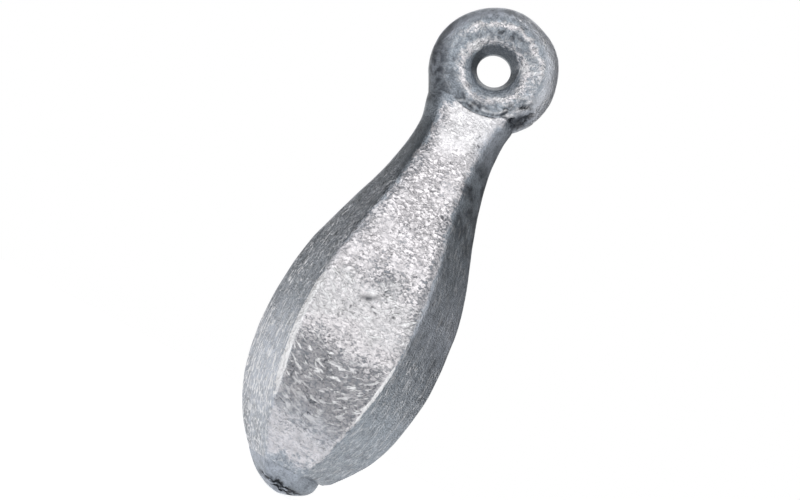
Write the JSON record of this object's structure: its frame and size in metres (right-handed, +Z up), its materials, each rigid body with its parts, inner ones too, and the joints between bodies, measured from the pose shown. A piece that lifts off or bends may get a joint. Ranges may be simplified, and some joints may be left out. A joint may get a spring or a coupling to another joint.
{
  "type": "fishing sinker",
  "caption": "Six-sided bank sinker cast in lead, with a ring eye for the line and the snapped stub of its pouring gate.",
  "frame": {"origin": "centre of the eye's hole, at mid thickness of the ring", "axes": "+Z up the fishing line, so the body hangs below the origin; +Y along the eye's hole, away from the side the picture shows; +X across the width"},
  "size_m": [0.022, 0.0178, 0.0646],
  "materials": {
    "cast_lead": "dull as-cast lead with a frosted, wrinkled skin",
    "torn_lead": "rough torn lead"
  },
  "bodies": {
    "root": {"line_eye": "cast_lead", "sinker_body": "cast_lead", "sprue_stub": "torn_lead"}
  },
  "joints": []
}
